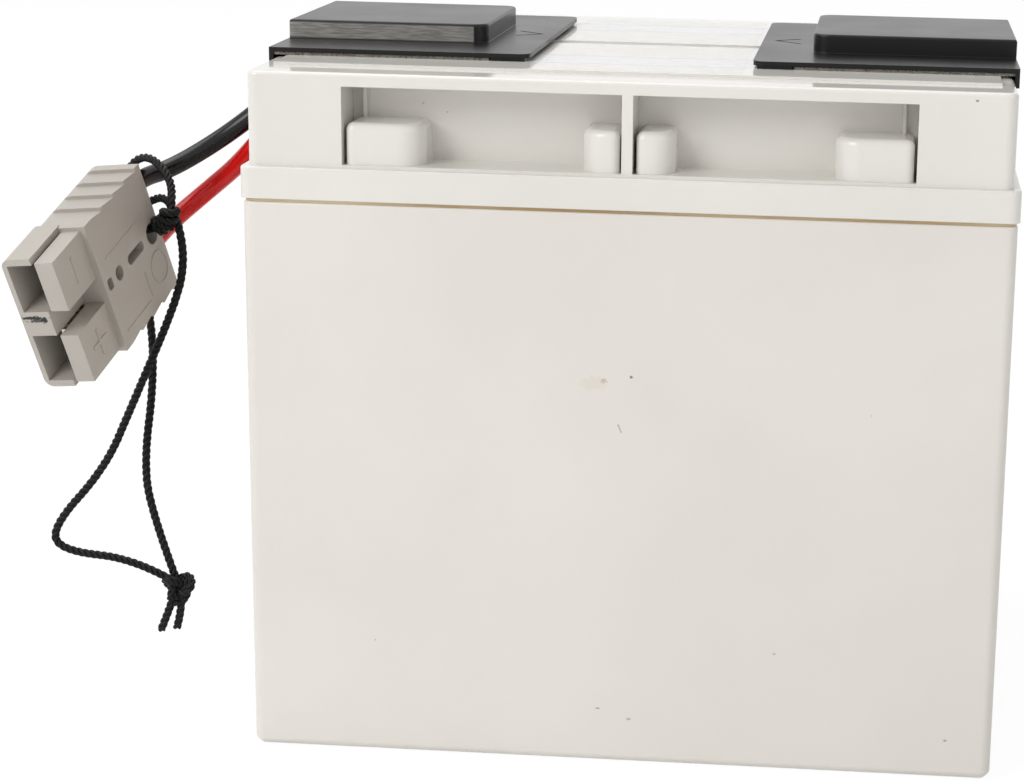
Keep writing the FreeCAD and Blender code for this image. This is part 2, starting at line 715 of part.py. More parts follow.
def connector_place():
    """Give the place of everything that is built in the connector's own frame."""
    spot = Vector(size("connector_x"), size("connector_y"), size("connector_z"))
    return Placement(spot, Rotation(size("connector_yaw"), size("connector_pitch"), size("connector_roll")))


def far_edge(a, b):
    """Tell whether an edge runs along the connector on its far face."""
    low = -size("housing_thickness") / 2
    return abs(a.z - low) < 1e-4 and abs(b.z - low) < 1e-4 and abs(a.y - b.y) < 1e-4


def housing_blank():
    """Make the grip, the shroud of the far half and the two tongues of the near half."""
    grip = slab("grip", ("0", "grip_length"), both_ways(HALF_WIDTH), both_ways(HALF_THICK))
    dress(grip, "Fillet", far_edge, "back_radius")
    shroud = slab("shroud", (f"grip_length - {PAST}", "housing_length"),
                  both_ways(f"{HALF_WIDTH} + shroud_proud"), (f"-{HALF_THICK}", "shroud_top"))
    dress(shroud, "Fillet", far_edge, "shroud_radius")
    tongues = [slab(f"tongue_{sign + 1}", (f"grip_length - {PAST}", "housing_length"),
                    span(sign, "tongue_inner", "tongue_outer"), ("tongue_low", "tongue_high"))
               for sign in ENDS]
    return fuse("housing_blank", [grip, shroud] + tongues)


def tooth_cuts():
    """Cut the finger ribs on both narrow sides as a row of ramps."""
    ramps = []
    for sign in ENDS:
        for i in range(int(size("tooth_count"))):
            ramp = doc.addObject("Part::Wedge", f"ramp_{sign + 1}_{i}")
            start = f"(tooth_start + {i} * tooth_pitch)"
            edge = f"({HALF_WIDTH} - tooth_cut)"
            bind(ramp, Xmin=start, Xmax=f"{start} + tooth_root",
                 X2min=start, X2max=f"{start} + tooth_pitch - tooth_land",
                 Ymin=edge, Ymax=HALF_WIDTH, Zmin=f"-{HALF_THICK} - {PAST}", Zmax=f"{HALF_THICK} + {PAST}",
                 Z2min=f"-{HALF_THICK} - {PAST}", Z2max=f"{HALF_THICK} + {PAST}")
            ramp.Placement = Placement(Vector(), Rotation(Vector(1, 0, 0), 0 if sign > 0 else 180))
            ramps.append(ramp)
    return ramps


def pole_hollows():
    """List the bore, channel and mating cavity of both poles."""
    hollows = []
    depth = (f"-{HALF_THICK} + shroud_wall", "tongue_low")
    for sign in ENDS:
        half = "channel_width / 2"
        hollows += [
            rod_along(f"pole_{sign + 1}", "pole_bore", (f"-{PAST}", f"channel_start + {PAST}"),
                      f"{sign} * pole_offset"),
            block(f"channel_{sign + 1}", ("channel_start", f"grip_length + {PAST}"),
                  span(sign, f"pole_offset - {half}", f"pole_offset + {half}"), depth),
            block(f"cavity_{sign + 1}", ("grip_length", f"housing_length + {PAST}"),
                  span(sign, "web_half", f"{HALF_WIDTH} + shroud_proud - shroud_side"), depth),
        ]
    return hollows


def face_holes():
    """List the holes that pass through the connector from face to face."""
    through = (f"-{HALF_THICK} - {PAST}", f"{HALF_THICK} + {PAST}")
    return [
        rod("cord_hole", "cord_hole", "cord_hole_at", "0", through),
        rod("fixing_hole", "fixing_hole", "fixing_hole_at", "0", through),
        slab("long_slot", ("slot_start", "slot_end"), both_ways("slot_width / 2"), through, "0.49 * slot_width"),
        slab("key_hole", ("key_start", "key_end"), both_ways("key_width / 2"), through, "key_corner"),
    ]


# Raised lines on the connector's near face, each as its ends along and across the connector.
PANEL_LINES = {
    "upper_long": ((3.0, 28.6), (-6.6, -6.6)),
    "upper_short": ((2.0, 2.0), (-13.2, -7.4)),
    "lower_long": ((15.4, 29.7), (14.4, 14.4)),
    "lower_short": ((13.6, 13.6), (6.8, 13.6)),
}


def raised_marks():
    """List the raised polarity marks and the outlines on the near face."""
    low = (f"tongue_high - {OVERLAP}", "tongue_high + mark_height")
    centre = "(tongue_inner + tongue_outer) / 2"
    half_line = "mark_line / 2"
    half_mark = "mark_length / 2"
    across = (f"mark_at - {half_line}", f"mark_at + {half_line}")
    marks = [block("minus", across, span(-1, f"{centre} - {half_mark}", f"{centre} + {half_mark}"), low),
             block("plus_across", across, (f"{centre} - {half_mark}", f"{centre} + {half_mark}"), low),
             block("plus_along", (f"mark_at - {half_mark}", f"mark_at + {half_mark}"),
                   (f"{centre} - {half_line}", f"{centre} + {half_line}"), low)]
    high = (f"{HALF_THICK} - {OVERLAP}", f"{HALF_THICK} + outline_height")
    half = "outline_line / 2"
    for name, (x, y) in PANEL_LINES.items():
        marks.append(block(name, (f"{x[0]} - {half}", f"{x[1]} + {half}"),
                           (f"{y[0]} - {half}", f"{y[1]} + {half}"), high))
    disc = rod("ring_disc", "ring_radius", "ring_along", "pole_offset", high)
    hole = rod("ring_hole", "ring_radius - outline_line", "ring_along", "pole_offset",
               (f"{HALF_THICK} - {PAST}", f"{HALF_THICK} + {PAST}"))
    ring = cut("ring_mark", disc, [hole])
    return marks + [ring]


def make_housing():
    """Mould the connector housing, with tongues, shroud, finger ribs, holes and marks."""
    body = cut("housing_cut", housing_blank(), tooth_cuts() + pole_hollows() + face_holes())
    node(fuse("housing", [body] + raised_marks()), "connector_housing", connector_place())


def make_contacts():
    """Fit a crimped contact and its leaf spring to each pole."""
    contacts = []
    springs = []
    for sign in ENDS:
        y = f"{sign} * pole_offset"
        under = "tongue_low - blade_thickness"
        barrel = rod_along(f"contact_barrel_{sign + 1}", "contact_barrel",
                           ("contact_start", "channel_start"), y)
        blade = block(f"blade_{sign + 1}", ("channel_start", "blade_end"),
                      (f"{y} - blade_width / 2", f"{y} + blade_width / 2"), (under, "tongue_low"))
        contacts.append(fuse(f"contact_{sign + 1}", [barrel, blade]))
        leaf_y = (f"{y} - spring_width / 2", f"{y} + spring_width / 2")
        leaf = block(f"leaf_{sign + 1}", ("channel_start", "spring_end"), leaf_y,
                     (f"{under} - spring_thickness", under))
        tab = block(f"tab_{sign + 1}", ("channel_start", "channel_start + spring_thickness"), leaf_y,
                    (f"-{HALF_THICK} + shroud_wall", under))
        springs.append(fuse(f"spring_{sign + 1}", [leaf, tab]))
    node(group("contacts", contacts), "connector_contacts", connector_place())
    node(group("springs", springs), "contact_springs", connector_place())


def rounded_route(points):
    """Join points by straight runs and tangent arcs, and return the wire and the arc radii."""
    edges = []
    radii = []
    last = points[0]
    for before, corner, after in zip(points, points[1:], points[2:]):
        back = (before - corner).normalize()
        ahead = (after - corner).normalize()
        half_turn = (math.pi - back.getAngle(ahead)) / 2
        reach = 0.45 * min((before - corner).Length, (after - corner).Length)
        radii.append(reach / math.tan(half_turn))
        start = corner + back * reach
        end = corner + ahead * reach
        inward = (back + ahead).normalize()
        middle = corner + inward * (radii[-1] / math.cos(half_turn) - radii[-1])
        edges.append(Part.LineSegment(last, start).toShape())
        edges.append(Part.Arc(start, middle, end).toShape())
        last = end
    edges.append(Part.LineSegment(last, points[-1]).toShape())
    return Part.Wire(edges), radii


def tube(name, points, radius):
    """Sweep a round section along a rounded route and check it against its length."""
    wire, radii = rounded_route(points)
    circle = Part.Wire(Part.makeCircle(radius, points[0], points[1] - points[0]))
    solid = wire.makePipeShell([circle], True, False)
    expected = math.pi * radius ** 2 * wire.Length
    share = solid.Volume / expected
    print(f"{name}: length {wire.Length:.1f}, least radius {min(radii):.1f}, volume {share:.4f}")
    return solid


def vectors(rows):
    """Turn rows of numbers into vectors."""
    return [Vector(*row) for row in rows]


def lug_exit(sign, turn, run):
    """Give where a lead leaves its lug's barrel and a point further along the same line."""
    angle = math.radians(size(turn))
    height = size("terminal_top") + size("barrel_radius")
    spot = Vector(-size("terminal_along"), sign * size("terminal_across"), height)
    ahead = Vector(math.cos(angle), math.sin(angle), 0)
    return [spot + ahead * size("lug_neck"), spot + ahead * (size("lug_neck") + size(run))]


# Where the two leads pass between their lugs and the connector.
BLACK_LEAD = [(-115.1, 26.0, 140.4), (-132.9, 17.0, 128.5)]
RED_LEAD = [(-98.0, 18.0, 149.0), (-115.0, 25.0, 132.1), (-127.6, 27.0, 120.8)]


def make_leads():
    """Run the two leads from their lugs, out over the rim, into the back of the connector."""
    frame = connector_place()
    pole = size("pole_offset")
    start = size("contact_start")
    black = lug_exit(1, "black_lug_turn", "black_run") + vectors(BLACK_LEAD)
    black += [frame.multVec(Vector(x, -pole, 0)) for x in (-size("black_straight"), start)]
    red = lug_exit(-1, "red_lug_turn", "red_run") + vectors(RED_LEAD)
    red += [frame.multVec(Vector(x, pole, 0)) for x in (-size("red_straight"), start)]
    for label, route in (("black_lead", black), ("red_lead", red)):
        item = doc.addObject("Part::Feature", label)
        item.Shape = tube(label, route, size("lead_radius"))
        node(item, label)


# The cord's route: from the knot up to the back of the connector, between the leads,
# through the hole near the back, around the black lead, and behind the red lead down again.
CORD_UP = [(-128.5, -8.0, 17.5), (-139.6, -8.0, 23.8), (-160.5, -7.0, 24.8), (-163.3, -6.5, 31.0),
           (-147.9, -5.0, 48.5), (-140.3, -5.0, 65.6), (-127.0, -5.0, 95.0), (-124.1, -5.0, 106.5),
           (-125.3, -2.5, 117.0), (-131.5, 3.0, 121.8), (-139.0, 8.0, 118.5), (-149.0, 6.0, 115.0)]
CORD_DOWN = [(-128.0, -6.0, 121.0), (-129.5, 0.0, 127.5), (-137.3, 7.5, 132.6), (-144.3, 10.5, 128.0),
             (-144.2, 11.0, 116.0), (-141.6, 11.0, 103.0), (-137.6, 8.0, 84.0), (-136.6, 3.0, 68.5),
             (-138.0, -2.0, 51.0), (-136.3, -4.5, 37.5), (-128.6, -8.0, 20.3)]
CORD_TAILS = [[(-128.5, -8.0, 16.5), (-130.0, -8.0, 11.5), (-133.2, -8.0, 3.7)],
              [(-127.5, -8.0, 16.5), (-126.8, -7.8, 11.5), (-129.0, -7.2, 4.3)]]
KNOT = (-128.2, -8.0, 16.9)


def make_cord():
    """Make the pull cord: its route, the knot where it starts and ends, and its two tails."""
    frame = connector_place()
    hole = size("cord_hole_at")
    face = size("housing_thickness") / 2
    radius = size("cord_radius")
    side = hole - size("cord_hole") + radius + size("cord_play")
    outside = face + 3 * radius
    through = [frame.multVec(Vector(side, 0, z)) for z in (-outside, outside)]
    route = vectors(CORD_UP) + through + vectors(CORD_DOWN)
    solid = tube("pull_cord", route, radius)
    tails = [tube("cord tail", vectors(tail), radius) for tail in CORD_TAILS]
    knot = Part.makeSphere(size("knot_radius"))
    knot.Placement = Placement(Vector(*KNOT), Rotation(Vector(1, 0, 0), 90))
    item = doc.addObject("Part::Feature", "pull_cord")
    item.Shape = solid.fuse([knot] + tails)
    node(item, "pull_cord")


fill_sheet()
for battery in ("front", "rear"):
    make_container(battery)
    make_seam(battery)
    make_lid(battery)
    make_valves(battery)
    make_plates(battery)
    make_terminals(battery)
make_screws()
make_link()
lugs = [make_lug("black_lug", 1, "black_lug_turn"), make_lug("red_lug", -1, "red_lug_turn")]
node(group("lug_pair", lugs), "lead_lugs")
make_cover("left", -1)
make_cover("right", 1)
make_binding()
make_housing()
make_contacts()
make_leads()
make_cord()

doc.recompute()
faults = [item.Name for item in doc.Objects if "Invalid" in item.State or "Error" in item.State]
faults += [item.Label for item in NODES if item.Shape.isNull() or not item.Shape.isValid()]
if faults:
    raise RuntimeError(f"not written, faulty objects: {faults}")
os.makedirs("parts", exist_ok=True)
for item in NODES:
    print(item.Label, "solids", len(item.Shape.Solids), "volume", round(item.Shape.Volume, 1))
    item.Shape.exportStep(f"parts/{item.Label}.step")
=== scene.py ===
"""Dress a packed pair of joined sealed batteries: finishes, leads, pull cord, light and camera."""

import logging
import math
from dataclasses import dataclass, field
from enum import Enum

import bmesh
import bpy
from mathutils import Matrix, Vector


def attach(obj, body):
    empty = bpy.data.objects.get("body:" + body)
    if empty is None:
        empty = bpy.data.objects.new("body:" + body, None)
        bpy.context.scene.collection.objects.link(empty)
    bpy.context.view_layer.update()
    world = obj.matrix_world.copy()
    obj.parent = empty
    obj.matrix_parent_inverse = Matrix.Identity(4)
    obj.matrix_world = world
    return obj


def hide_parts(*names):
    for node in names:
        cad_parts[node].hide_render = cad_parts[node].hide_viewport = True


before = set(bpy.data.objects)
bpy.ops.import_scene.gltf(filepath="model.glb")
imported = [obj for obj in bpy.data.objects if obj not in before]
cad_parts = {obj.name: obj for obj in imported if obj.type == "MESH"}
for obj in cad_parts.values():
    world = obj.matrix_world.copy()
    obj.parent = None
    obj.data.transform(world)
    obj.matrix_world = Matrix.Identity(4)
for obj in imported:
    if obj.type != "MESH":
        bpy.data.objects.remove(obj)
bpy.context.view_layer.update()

LOG = logging.getLogger("cartridge")
MM = 0.001
WHITE = (1.0, 1.0, 1.0, 1.0)
Colour = tuple[float, float, float, float]
Point = tuple[float, float, float]


def tone(red: int, green: int, blue: int) -> Colour:
    """Turn a colour as it looks on a screen into the shader's linear colour.

    Args:
        red: Red from 0 to 255.
        green: Green from 0 to 255.
        blue: Blue from 0 to 255.

    Returns:
        The linear colour with full alpha.
    """
    def linear(value: int) -> float:
        """Undo the screen's curve for one channel."""
        share = value / 255
        return share / 12.92 if share <= 0.04045 else ((share + 0.055) / 1.055) ** 2.4

    return linear(red), linear(green), linear(blue), 1.0


def metres(points: list[Point]) -> list[Vector]:
    """Turn points in millimetres into vectors in metres."""
    return [Vector(point) * MM for point in points]


class Recipe:
    """The nodes of one material, added and linked step by step."""

    def __init__(self, name: str) -> None:
        """Start a material on the Principled shader.

        Args:
            name: The material's name.
        """
        self.material = bpy.data.materials.new(name)
        self.material.use_nodes = True
        self.tree = self.material.node_tree
        self.shader = self.tree.nodes["Principled BSDF"]

    def set(self, **values: object) -> None:
        """Set the shader's own sockets; an underscore stands for a space."""
        for name, value in values.items():
            self.shader.inputs[name.replace("_", " ")].default_value = value

    def feed(self, socket: str, source: bpy.types.NodeSocket) -> None:
        """Link a source to one of the shader's sockets."""
        self.tree.links.new(source, self.shader.inputs[socket])

    def node(self, kind: str, inputs: dict[object, object] | None = None,
             **settings: object) -> bpy.types.Node:
        """Add a node.

        Args:
            kind: The node's type without its ShaderNode prefix.
            inputs: Sockets to link or fill, by name or number.
            settings: The node's own settings.

        Returns:
            The new node.
        """
        made = self.tree.nodes.new(f"ShaderNode{kind}")
        for name, value in settings.items():
            setattr(made, name, value)
        for name, value in (inputs or {}).items():
            if isinstance(value, bpy.types.NodeSocket):
                self.tree.links.new(value, made.inputs[name])
            else:
                made.inputs[name].default_value = value
        return made

    def place(self) -> bpy.types.NodeSocket:
        """Give the place on the object, in metres."""
        return self.node("TexCoord").outputs["Object"]

    def mapped(self, scale: Point) -> bpy.types.NodeSocket:
        """Give the place on the object, stretched."""
        return self.node("Mapping", {"Vector": self.place(), "Scale": scale}).outputs["Vector"]

    def noise(self, scale: float, detail: float = 2.0,
              vector: bpy.types.NodeSocket | None = None) -> bpy.types.NodeSocket:
        """Give a cloudy pattern.

        Args:
            scale: Clouds in a metre.
            detail: How many finer layers it has.
            vector: Where to read it, or the place on the object.

        Returns:
            The pattern's height, about 0.5 on average.
        """
        inputs = {"Vector": vector or self.place(), "Scale": scale, "Detail": detail, "Roughness": 0.5}
        return self.node("TexNoise", inputs).outputs["Fac"]

    def span(self, value: bpy.types.NodeSocket, low: float, high: float, to_low: float = 0.0,
             to_high: float = 1.0) -> bpy.types.NodeSocket:
        """Map a value from one span to another, and hold it at the ends."""
        inputs = {0: value, 1: low, 2: high, 3: to_low, 4: to_high}
        return self.node("MapRange", inputs).outputs[0]

    def sum(self, kind: str, first: object, second: object = 0.0) -> bpy.types.NodeSocket:
        """Give a sum, product or other reckoning of two values."""
        return self.node("Math", {0: first, 1: second}, operation=kind).outputs[0]

    def blend(self, share: object, first: object, second: object) -> bpy.types.NodeSocket:
        """Blend two colours by a share."""
        return self.node("Mix", {0: share, 6: first, 7: second}, data_type="RGBA").outputs[2]

    def relief(self, height: bpy.types.NodeSocket, depth: float, strength: float = 1.0,
               under: bpy.types.NodeSocket | None = None) -> bpy.types.NodeSocket:
        """Give normals for a height pattern of a depth in metres."""
        inputs: dict[object, object] = {"Height": height, "Distance": depth, "Strength": strength}
        if under is not None:
            inputs["Normal"] = under
        return self.node("Bump", inputs).outputs["Normal"]


@dataclass(frozen=True)
class Mark:
    """A small blemish on a surface, with soft edges."""

    centre: Point
    reach: Point
    colour: Colour
    strength: float = 0.8
    turn: Point = (0.0, 0.0, 0.0)

    def over(self, recipe: Recipe, colour: bpy.types.NodeSocket) -> bpy.types.NodeSocket:
        """Lay the mark over a colour and give the result."""
        moved = recipe.node("VectorMath", {0: recipe.place(), 1: Vector(self.centre) * MM},
                            operation="SUBTRACT").outputs[0]
        scale = [1 / (MM * reach) for reach in self.reach]
        turned = recipe.node("VectorRotate", {"Vector": moved, "Rotation": self.turn}, invert=True,
                             rotation_type="EULER_XYZ").outputs[0]
        sized = recipe.node("Mapping", {"Vector": turned, "Scale": scale}).outputs[0]
        far = recipe.node("VectorMath", {0: sized}, operation="LENGTH").outputs["Value"]
        ragged = recipe.sum("ADD", far, recipe.span(recipe.noise(1400, 3), 0.3, 0.7, -0.45, 0.45))
        share = recipe.span(ragged, 0.6, 1.1, self.strength, 0.0)
        return recipe.blend(share, colour, self.colour)


@dataclass(frozen=True)
class PaintedSheen:
    """A painted sheen: a wall painted to another colour in fine lines, standing in for a brushed
    reflection, in a box with faded edges.
    """

    low: Point
    high: Point
    colour: Colour
    fade: float = 0.35
    strength: tuple[float, float] = (0.55, 1.0)

    def over(self, recipe: Recipe, colour: bpy.types.NodeSocket) -> bpy.types.NodeSocket:
        """Lay the painted sheen over a colour and give the result."""
        parts = recipe.node("SeparateXYZ", {0: recipe.place()}).outputs
        lines = recipe.noise(1.0, 3, recipe.mapped((260.0, 260.0, 3600.0)))
        share = recipe.span(lines, 0.35, 0.65, *self.strength)
        fade = self.fade * MM
        for part, low, high in zip(parts, self.low, self.high):
            share = recipe.sum("MULTIPLY", share, recipe.span(part, low * MM - fade, low * MM))
            share = recipe.sum("MULTIPLY", share, recipe.span(part, high * MM, high * MM + fade, 1.0, 0.0))
        return recipe.blend(share, colour, self.colour)


@dataclass(frozen=True)
class Moulding:
    """A moulded plastic: faint clouds in its colour, a fine skin and an uneven gloss."""

    name: str
    colour: Colour
    shade: Colour
    gloss: tuple[float, float]
    skin_scale: float = 700.0
    skin_depth: float = 0.00002
    wave_depth: float = 0.0
    speck_colour: Colour = (0.05, 0.045, 0.04, 1.0)
    specks: float = 0.0
    edge: float = 0.0003
    ior: float = 1.5
    # Blemishes of the plastic, and a painted sheen that stands in for a reflection on a wall.
    marks_and_sheen: tuple[Mark | PaintedSheen, ...] = ()

    def material(self) -> bpy.types.Material:
        """Build the material."""
        recipe = Recipe(self.name)
        clouds = recipe.span(recipe.noise(16, 4), 0.35, 0.65)
        colour = recipe.blend(clouds, self.colour, self.shade)
        if self.specks:
            spots = recipe.node("TexVoronoi", {"Vector": recipe.place(), "Scale": 95.0})
            small = recipe.span(spots.outputs["Distance"], 0.018, 0.03, self.specks, 0.0)
            few = recipe.span(recipe.noise(24, 1), 0.60, 0.62)
            colour = recipe.blend(recipe.sum("MULTIPLY", small, few), colour, self.speck_colour)
        # Each one is a blemish of the plastic, or a painted sheen: a lighter patch standing in for a
        # reflection.
        for mark in self.marks_and_sheen:
            colour = mark.over(recipe, colour)
        recipe.feed("Base Color", colour)
        recipe.feed("Roughness", recipe.span(recipe.noise(45, 3), 0.3, 0.7, *self.gloss))
        rounded = recipe.node("Bevel", {"Radius": self.edge}, samples=6).outputs["Normal"]
        normal = recipe.relief(recipe.noise(self.skin_scale, 2), self.skin_depth, 0.6, rounded)
        if self.wave_depth:
            normal = recipe.relief(recipe.noise(22, 1), self.wave_depth, 0.5, normal)
        recipe.feed("Normal", normal)
        recipe.set(IOR=self.ior)
        return recipe.material


@dataclass(frozen=True)
class PlatedMetal:
    """A plated or cast metal with fine brushing and dull patches."""

    name: str
    colour: Colour
    dull: Colour
    gloss: tuple[float, float]
    metal: float = 1.0

    def material(self) -> bpy.types.Material:
        """Build the material."""
        recipe = Recipe(self.name)
        patches = recipe.span(recipe.noise(220, 4), 0.4, 0.65)
        recipe.feed("Base Color", recipe.blend(patches, self.colour, self.dull))
        brushed = recipe.noise(1.0, 2, recipe.mapped((400.0, 400.0, 4000.0)))
        recipe.feed("Roughness", recipe.span(brushed, 0.3, 0.7, *self.gloss))
        recipe.feed("Normal", recipe.relief(brushed, 0.00001, 0.5))
        recipe.set(Metallic=self.metal)
        return recipe.material


@dataclass(frozen=True)
class Sleeve:
    """A wire's glossy sleeve, with faint dust and waves along it."""

    name: str
    colour: Colour
    dust: Colour

    def material(self) -> bpy.types.Material:
        """Build the material."""
        recipe = Recipe(self.name)
        smudge = recipe.span(recipe.noise(160, 4), 0.55, 0.8, 0.0, 0.25)
        recipe.feed("Base Color", recipe.blend(smudge, self.colour, self.dust))
        recipe.feed("Roughness", recipe.span(recipe.noise(120, 3), 0.3, 0.7, 0.16, 0.26))
        recipe.feed("Normal", recipe.relief(recipe.noise(240, 2), 0.00002, 0.4))
        recipe.set(IOR=1.4)
        return recipe.material


@dataclass(frozen=True)
class Braid:
    """Black polyester yarn with fine fibres across each strand."""

    name: str
    colour: Colour
    worn: Colour

    def material(self) -> bpy.types.Material:
        """Build the material."""
        recipe = Recipe(self.name)
        lint = recipe.span(recipe.noise(900, 3), 0.5, 0.8, 0.0, 0.6)
        recipe.feed("Base Color", recipe.blend(lint, self.colour, self.worn))
        recipe.feed("Roughness", recipe.span(recipe.noise(500, 2), 0.3, 0.7, 0.45, 0.65))
        recipe.feed("Normal", recipe.relief(recipe.noise(5000, 2), 0.00004, 0.7))
        recipe.set(IOR=1.33)
        return recipe.material


@dataclass(frozen=True)
class Foam:
    """Closed-cell foam with small cells."""

    name: str
    colour: Colour
    cell: Colour

    def material(self) -> bpy.types.Material:
        """Build the material."""
        recipe = Recipe(self.name)
        cells = recipe.node("TexVoronoi", {"Vector": recipe.place(), "Scale": 1500.0}).outputs["Distance"]
        recipe.feed("Base Color", recipe.blend(recipe.span(cells, 0.1, 0.6), self.cell, self.colour))
        recipe.feed("Normal", recipe.relief(cells, 0.0002, 0.6))
        recipe.set(Roughness=0.85)
        return recipe.material


@dataclass(frozen=True)
class ClearFilm:
    """A thin clear film with creases and a few trapped bubbles."""

    name: str
    alpha: tuple[float, float]

    def material(self) -> bpy.types.Material:
        """Build the material."""
        recipe = Recipe(self.name)
        bubbles = recipe.noise(150, 4, recipe.mapped((1.0, 3.0, 1.0)))
        recipe.feed("Alpha", recipe.span(bubbles, 0.45, 0.75, *self.alpha))
        recipe.feed("Roughness", recipe.span(recipe.noise(60, 3), 0.3, 0.7, 0.06, 0.2))
        creases = recipe.noise(90, 2, recipe.mapped((0.5, 2.0, 1.0)))
        recipe.feed("Normal", recipe.relief(creases, 0.00015, 0.5))
        recipe.set(Base_Color=tone(236, 238, 240))
        return recipe.material


class Finish(Enum):
    """The finishes of the cartridge, each built once."""

    CASE = "case"
    LID = "lid"
    STRIP = "strip"
    GLUE = "glue"
    RUBBER = "rubber"
    PLATES = "plates"
    TERMINAL = "terminal"
    ZINC = "zinc"
    COPPER = "copper"
    COVER = "cover"
    TAPE = "cover tape"
    FOAM = "foam"
    FILM = "film"
    CONNECTOR = "connector"
    SILVER = "silver"
    SPRING = "spring"
    BLACK_SLEEVE = "black sleeve"
    RED_SLEEVE = "red sleeve"
    YARN = "yarn"


CASE_MARKS = (
    Mark((-7.0, -75.9, 94.8), (3.6, 2.0, 1.8), tone(214, 202, 186), 0.4),
    Mark((-4.6, -75.9, 95.6), (0.8, 1.5, 0.5), tone(165, 140, 115), 0.45),
    Mark((1.9, -75.9, 96.8), (0.4, 1.0, 0.35), tone(80, 70, 60)),
    Mark((-0.7, -75.9, 84.2), (0.22, 1.0, 1.3), tone(140, 115, 95), 0.6, (0.0, -0.4, 0.0)),
    Mark((-5.2, -75.9, 13.9), (0.5, 1.0, 0.25), tone(120, 105, 85), 0.6),
    Mark((2.4, -75.9, 11.5), (0.7, 1.0, 0.3), tone(130, 110, 90), 0.5),
    Mark((78.8, -75.9, 9.9), (0.6, 1.0, 0.3), tone(120, 105, 85), 0.6),
    Mark((37.3, -75.9, 29.9), (0.35, 1.0, 0.3), tone(150, 135, 115), 0.5),
)
LID_MARKS = (
    Mark((79.3, -74.7, 163.8), (0.4, 1.0, 0.25), tone(100, 90, 84), 0.7),
    Mark((-49.8, -61.1, 157.6), (0.3, 1.0, 0.28), tone(150, 140, 128), 0.4),
    Mark((-44.1, -61.1, 155.7), (0.3, 1.0, 0.25), tone(130, 118, 104), 0.5),
)
# Painted sheen: the left cover's box front is painted lighter grey in fine brushed lines, standing in for a
# reflection on that wall.
COVER_SHEEN = (
    PaintedSheen((-90.6, -25.8, 168.5), (-43.9, -25.5, 171.9), tone(158, 155, 150)),
)
CONNECTOR_TURN = (math.radians(-83.3), math.radians(20.4), math.radians(-99.4))
CONNECTOR_MARKS = (
    Mark((-151.9, -44.7, 98.3), (1.2, 0.55, 4.2), tone(34, 30, 30), 1.0, CONNECTOR_TURN),
    Mark((-150.9, -44.9, 97.5), (1.2, 0.45, 3.2), tone(40, 35, 35), 0.9, CONNECTOR_TURN),
    Mark((-149.2, -45.1, 98.0), (1.2, 1.05, 1.1), tone(28, 25, 25), 1.0, CONNECTOR_TURN),
)
FINISHES = {
    Finish.CASE: Moulding("case_plastic", tone(226, 222, 215), tone(221, 216, 209), (0.36, 0.44),
                          specks=0.4, wave_depth=0.0005, marks_and_sheen=CASE_MARKS),
    Finish.LID: Moulding("lid_plastic", tone(229, 226, 220), tone(224, 221, 215), (0.05, 0.10),
                         specks=0.4, skin_depth=0.000006, wave_depth=0.0001, marks_and_sheen=LID_MARKS),
    Finish.STRIP: Moulding("strip_plastic", tone(228, 228, 228), tone(221, 221, 221), (0.08, 0.14),
                           specks=0.3, wave_depth=0.0002),
    Finish.GLUE: Moulding("glue", tone(216, 198, 164), tone(176, 148, 104), (0.4, 0.6), skin_depth=0.0001),
    Finish.RUBBER: Moulding("cap_rubber", tone(34, 34, 35), tone(48, 48, 48), (0.55, 0.7)),
    Finish.PLATES: PlatedMetal("plates", tone(92, 92, 95), tone(66, 66, 68), (0.6, 0.8), 0.4),
    Finish.TERMINAL: PlatedMetal("terminal_lead", tone(176, 176, 180), tone(130, 130, 134), (0.35, 0.55)),
    Finish.ZINC: PlatedMetal("zinc", tone(205, 206, 208), tone(170, 172, 175), (0.25, 0.4)),
    Finish.COPPER: PlatedMetal("tinned_copper", tone(196, 190, 182), tone(160, 152, 142), (0.25, 0.45)),
    # The cover carries the painted sheen on its left box front: lighter lines standing in for a reflection.
    Finish.COVER: Moulding("cover_plastic", tone(9, 9, 10), tone(7, 7, 8), (0.29, 0.34),
                           skin_scale=2600.0, skin_depth=0.00003, specks=0.3,
                           speck_colour=tone(150, 150, 150), ior=1.37, marks_and_sheen=COVER_SHEEN),
    Finish.TAPE: Foam("cover_tape", tone(150, 144, 134), tone(96, 92, 84)),
    Finish.FOAM: Foam("foam_tape", tone(226, 226, 222), tone(190, 190, 186)),
    Finish.FILM: ClearFilm("clear_film", (0.03, 0.14)),
    Finish.CONNECTOR: Moulding("connector_plastic", tone(181, 175, 167), tone(173, 167, 159), (0.34, 0.44),
                               skin_scale=1800.0, skin_depth=0.00003, specks=0.4, edge=0.0002,
                               marks_and_sheen=CONNECTOR_MARKS),
    Finish.SILVER: PlatedMetal("silver", tone(214, 212, 206), tone(180, 176, 168), (0.2, 0.35)),
    Finish.SPRING: PlatedMetal("spring_steel", tone(150, 150, 152), tone(120, 120, 122), (0.3, 0.45)),
    Finish.BLACK_SLEEVE: Sleeve("black_sleeve", tone(8, 8, 8), tone(24, 24, 25)),
    Finish.RED_SLEEVE: Sleeve("red_sleeve", tone(206, 18, 14), tone(190, 18, 14)),
    Finish.YARN: Braid("black_yarn", tone(6, 6, 6), tone(20, 20, 21)),
}


